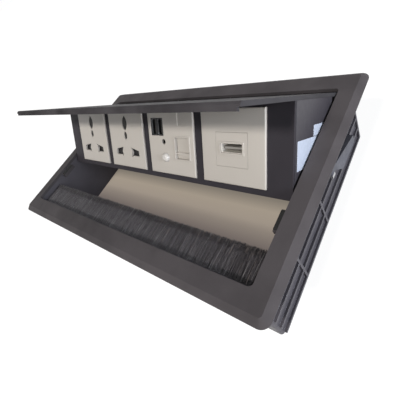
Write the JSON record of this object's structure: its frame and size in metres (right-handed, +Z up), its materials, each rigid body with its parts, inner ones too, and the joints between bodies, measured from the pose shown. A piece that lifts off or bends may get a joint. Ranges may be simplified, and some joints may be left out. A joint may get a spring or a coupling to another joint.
{
  "type": "desktop socket hub",
  "caption": "Flush worktop box whose hinged lid lifts a panel of mains sockets, charging and data ports over a brushed cable opening, with swing-out clamps.",
  "frame": {"origin": "centre of the worktop cut-out, on the worktop's top plane, which is the flange's underside", "axes": "+X along the long side to the right when facing the sockets, +Y towards the hinge side, +Z up out of the worktop"},
  "size_m": [0.2584, 0.1582, 0.1129],
  "materials": {
    "frame_coat": "dark satin coat",
    "tub_plastic": "fine-grained dark moulding",
    "box_plastic": "dark satin moulding",
    "plate_plastic": "warm white, lightly glossy",
    "insert_plastic": "mid grey moulding",
    "inner_plastic": "near black moulding",
    "cap_plastic": "glossy white",
    "board": "green laminate",
    "steel": "zinc plated",
    "brass": "bare strip",
    "cast_arm": "plain cast",
    "rubber": "matt",
    "brush_fibre": "nylon bristle",
    "sticker": "plain blank sticker"
  },
  "bodies": {
    "housing": {"bezel_frame": "frame_coat", "tub": "tub_plastic", "frame_screws": "steel", "lid_rest_pads": "rubber", "brush_holder": "tub_plastic", "brush_bristles": "brush_fibre", "pivot_bush_left": "inner_plastic", "pivot_bush_right": "inner_plastic", "clamp_screws": "steel"},
    "lid_unit": {"lid_plate": "frame_coat", "module_box": "box_plastic", "fascia": "box_plastic", "rear_cover": "box_plastic", "data_grommet": "rubber", "lid_screws": "steel", "cover_screws": "steel", "pivot_pin_left": "steel", "pivot_pin_right": "steel", "pin_springs": "steel", "terminal_screws": "steel", "usb_shells": "steel", "video_port": "steel", "friction_washer_left": "inner_plastic", "friction_washer_right": "inner_plastic", "mains_gland": "inner_plastic", "gland_nut": "inner_plastic", "terminal_block": "plate_plastic", "label_rating_blank": "sticker", "label_small_blank": "sticker", "socket_face_1": "plate_plastic", "socket_face_2": "plate_plastic", "data_face": "plate_plastic", "video_face": "plate_plastic", "earth_insert_1": "insert_plastic", "earth_insert_2": "insert_plastic", "video_insert": "plate_plastic", "socket_base_1": "plate_plastic", "socket_base_2": "plate_plastic", "socket_contacts_1": "brass", "socket_contacts_2": "brass", "network_contacts": "brass", "usb_housing": "inner_plastic", "usb_tongues": "insert_plastic", "audio_jack": "inner_plastic", "button_switch": "inner_plastic", "network_jack": "inner_plastic", "charger_board": "board", "charger_transformer": "inner_plastic", "data_carrier": "plate_plastic", "video_tongue": "insert_plastic", "video_board": "board", "video_carrier": "plate_plastic"},
    "socket_shutter_1": {"shutter_1": "inner_plastic"},
    "socket_shutter_2": {"shutter_2": "inner_plastic"},
    "network_cover": {"network_shutter": "plate_plastic"},
    "button": {"push_button": "cap_plastic"},
    "clamp_rider_left": {"clamp_nut_left": "steel"},
    "clamp_rider_right": {"clamp_nut_right": "steel"},
    "clamp_swing_left": {"clamp_arm_left": "cast_arm"},
    "clamp_swing_right": {"clamp_arm_right": "cast_arm"}
  },
  "joints": [
    {"name": "lid_hinge", "type": "hinge", "parent": "housing", "child": "lid_unit", "pos_m": [0, 0.05865, -0.0002], "axis": [-1, 0, 0], "range_deg": [-39.7, 0]},
    {"name": "socket_shutter_1_slide", "type": "slide", "parent": "lid_unit", "child": "socket_shutter_1", "axis": [0, 0.6388, 0.7694], "range_m": [0, 0.0086], "stiffness_N_per_m": 60, "springref_m": -0.004},
    {"name": "socket_shutter_2_slide", "type": "slide", "parent": "lid_unit", "child": "socket_shutter_2", "axis": [0, 0.6388, 0.7694], "range_m": [0, 0.0086], "stiffness_N_per_m": 60, "springref_m": -0.004},
    {"name": "network_cover_slide", "type": "slide", "parent": "lid_unit", "child": "network_cover", "axis": [0, 0.6388, 0.7694], "range_m": [0, 0.01], "stiffness_N_per_m": 60, "springref_m": -0.004},
    {"name": "button_press", "type": "slide", "parent": "lid_unit", "child": "button", "axis": [0, 0.7694, -0.6388], "range_m": [0, 0.0012], "stiffness_N_per_m": 900, "springref_m": -0.0006},
    {"name": "clamp_rise_left", "type": "slide", "parent": "housing", "child": "clamp_rider_left", "axis": [0, 0, 1], "range_m": [0, 0.0095]},
    {"name": "clamp_turn_left", "type": "hinge", "parent": "clamp_rider_left", "child": "clamp_swing_left", "pos_m": [-0.1209, 0.017, -0.02], "axis": [0, 0, 1], "range_deg": [0, 90]},
    {"name": "clamp_rise_right", "type": "slide", "parent": "housing", "child": "clamp_rider_right", "axis": [0, 0, 1], "range_m": [0, 0.0095]},
    {"name": "clamp_turn_right", "type": "hinge", "parent": "clamp_rider_right", "child": "clamp_swing_right", "pos_m": [0.1209, 0.017, -0.02], "axis": [0, 0, -1], "range_deg": [0, 90]}
  ]
}
